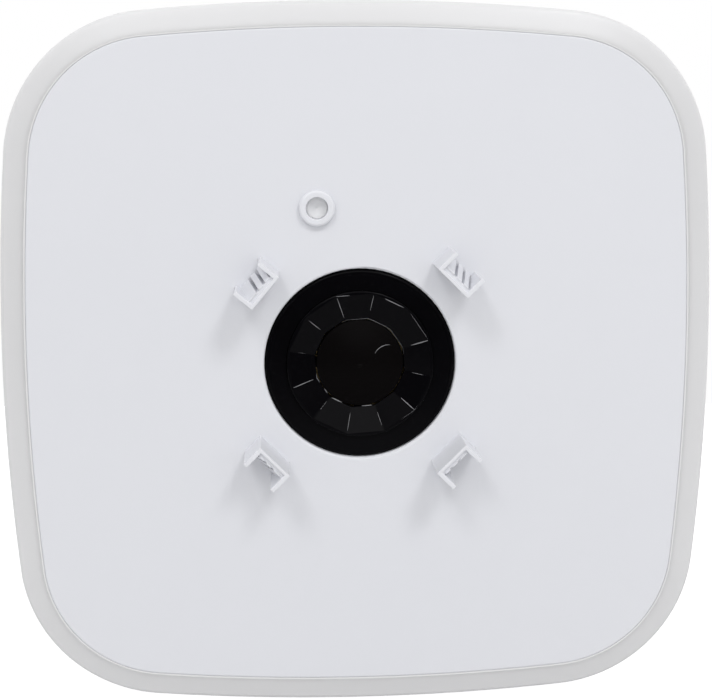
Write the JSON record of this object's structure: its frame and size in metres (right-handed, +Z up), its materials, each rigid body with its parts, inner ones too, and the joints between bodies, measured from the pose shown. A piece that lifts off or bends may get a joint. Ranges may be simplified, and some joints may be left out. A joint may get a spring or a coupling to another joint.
{
  "type": "outdoor alarm siren",
  "caption": "Square outdoor wall siren with rounded corners, a light frame, a central horn sounder, faceplate clips and a twist-lock wall bracket.",
  "frame": {"origin": "centre of the wall hole circle on the bracket's wall face", "axes": "+Z up, +X to the right as seen from the front, +Y into the wall, the front faces -Y"},
  "size_m": [0.2, 0.051, 0.2],
  "materials": {
    "panel_plastic": "fine satin moulded plastic",
    "frame_diffuser": "milky translucent diffuser",
    "housing_plastic": "satin moulded plastic",
    "bracket_plastic": "satin moulded plastic",
    "horn_plastic": "gloss black",
    "cover_plastic": "matte black",
    "seal_rubber": "matte",
    "screw_steel": "zinc plated",
    "disc_brass": "plain",
    "disc_ceramic": "fired, silvered",
    "board_laminate": "solder mask",
    "chip_plastic": "moulded package",
    "shield_steel": "tinned",
    "coil_ferrite": "ferrite with copper winding",
    "capacitor_can": "sleeved can",
    "contact_steel": "nickel plated",
    "cell_sleeve": "shrink sleeve",
    "holder_plastic": "moulded",
    "light_chip": "phosphor lens",
    "light_pipe": "clear moulded",
    "reflector_plastic": "white",
    "button_plastic": "moulded",
    "terminal_plastic": "moulded",
    "spring_steel": "drawn wire",
    "lead_plastic": "insulated wire",
    "label_film": "blank film"
  },
  "bodies": {
    "bracket": {"wall_bracket": "bracket_plastic"},
    "siren": {"rear_housing": "housing_plastic", "light_frame": "frame_diffuser", "front_panel": "panel_plastic", "sounder_bezel": "horn_plastic", "sounder_horn": "horn_plastic", "sounder_plug": "horn_plastic", "sounder_seal": "seal_rubber", "sounder_diaphragm": "disc_brass", "piezo_disc": "disc_ceramic", "sounder_back_cover": "cover_plastic", "sounder_screws": "screw_steel", "frame_gasket": "seal_rubber", "light_reflector": "reflector_plastic", "led_strip_top": "board_laminate", "led_strip_bottom": "board_laminate", "led_strip_right": "board_laminate", "led_strip_left": "board_laminate", "frame_lights": "light_chip", "main_board": "board_laminate", "main_board_screws": "screw_steel", "radio_shield": "shield_steel", "step_up_coil": "coil_ferrite", "driver_capacitors": "capacitor_can", "antennas": "contact_steel", "main_chips": "chip_plastic", "board_sockets": "reflector_plastic", "indicator_led": "light_chip", "indicator_light_pipe": "light_pipe", "battery_holder": "holder_plastic", "battery_contacts": "contact_steel", "battery_cell_1": "cell_sleeve", "battery_cell_2": "cell_sleeve", "battery_cell_3": "cell_sleeve", "battery_cell_4": "cell_sleeve", "battery_holder_screws": "screw_steel", "rear_board": "board_laminate", "rear_board_screws": "screw_steel", "power_switch": "chip_plastic", "tamper_switch": "chip_plastic", "terminal_block": "terminal_plastic", "terminal_screws": "screw_steel", "terminal_seal": "seal_rubber", "tamper_spring": "spring_steel", "housing_screws": "screw_steel", "bracket_lock_screw": "screw_steel", "rear_label": "label_film", "sounder_leads": "lead_plastic", "battery_leads": "lead_plastic", "board_link_leads": "lead_plastic", "light_leads": "lead_plastic", "light_links": "lead_plastic"},
    "power_button": {"power_button": "button_plastic"},
    "tamper_plunger": {"tamper_plunger": "button_plastic"}
  },
  "joints": [
    {"name": "siren_twist", "type": "hinge", "parent": "bracket", "child": "siren", "pos_m": [0, 0, 0], "axis": [0, -1, 0], "range_deg": [0, 20]},
    {"name": "power_press", "type": "slide", "parent": "siren", "child": "power_button", "axis": [0, -1, 0], "range_m": [0, 0.0006], "stiffness_N_per_m": 900, "springref_m": -0.0006},
    {"name": "tamper_press", "type": "slide", "parent": "siren", "child": "tamper_plunger", "axis": [0, -1, 0], "range_m": [0, 0.0008], "stiffness_N_per_m": 400, "springref_m": -0.0015, "deforming": ["tamper_spring"]}
  ]
}
